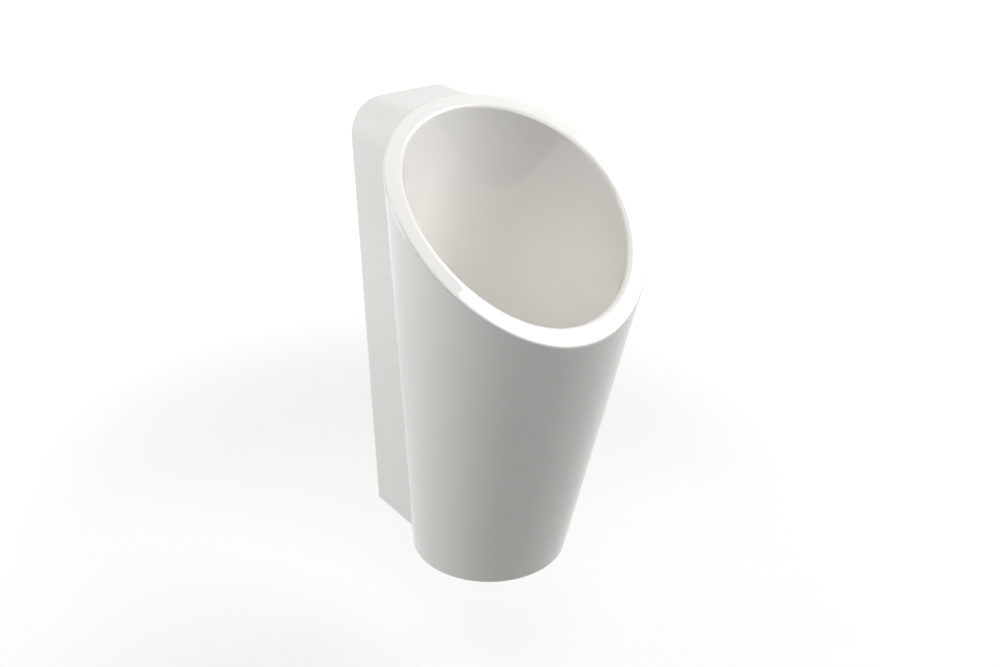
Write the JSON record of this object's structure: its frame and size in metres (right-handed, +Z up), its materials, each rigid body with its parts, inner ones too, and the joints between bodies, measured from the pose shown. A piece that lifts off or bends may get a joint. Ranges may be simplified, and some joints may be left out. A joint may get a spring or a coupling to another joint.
{
  "type": "wall hung urinal",
  "caption": "Wall hung waterless urinal with a round leaning bowl, a slanted arched mouth with a flat rim, a wall box, hooks and clamps for the wall, and a lift-out trap cartridge.",
  "frame": {"origin": "middle of the bottom edge of the flat back face, where it meets the wall", "axes": "+Z up along the wall, +Y into the wall, +X to the right as seen from the room; the front faces -Y"},
  "size_m": [0.3206, 0.375, 0.6038],
  "materials": {
    "glaze": "glossy",
    "seal_rubber": "matte",
    "white_fitting": "satin",
    "grey_fitting": "satin",
    "clear_cup": "glossy",
    "float_plastic": "satin",
    "strainer_steel": "brushed",
    "clip_steel": "polished",
    "plated_steel": "zinc plated",
    "bolt_steel": "zinc plated"
  },
  "bodies": {
    "body": {"ceramic_body": "glaze", "flange_seal": "seal_rubber", "underside_seal": "seal_rubber", "housing_nut": "white_fitting", "trap_housing": "grey_fitting", "union_nut": "grey_fitting", "union_seal": "seal_rubber", "outlet_pipe": "white_fitting", "wall_connector": "seal_rubber", "connector_clips": "clip_steel", "hanger_bracket": "plated_steel", "hanger_pads": "seal_rubber", "lower_anchors": "plated_steel", "anchor_pads": "seal_rubber", "clamp_bolts": "bolt_steel", "clamp_washers": "bolt_steel", "clamp_nuts": "bolt_steel"},
    "cartridge": {"cartridge_cup": "clear_cup", "cartridge_head": "white_fitting", "head_seals": "seal_rubber", "seat_seal": "seal_rubber", "float_cage": "white_fitting"},
    "float": {"float_ball": "float_plastic"},
    "strainer": {"strainer_lid": "strainer_steel"}
  },
  "joints": [
    {"name": "cartridge_lift", "type": "slide", "parent": "body", "child": "cartridge", "axis": [0, 0, 1], "range_m": [0, 0.52]},
    {"name": "strainer_lift", "type": "slide", "parent": "cartridge", "child": "strainer", "axis": [0, 0, 1], "range_m": [0, 0.42]},
    {"name": "float_rise", "type": "slide", "parent": "cartridge", "child": "float", "axis": [0, 0, 1], "range_m": [0, 0.008]}
  ]
}
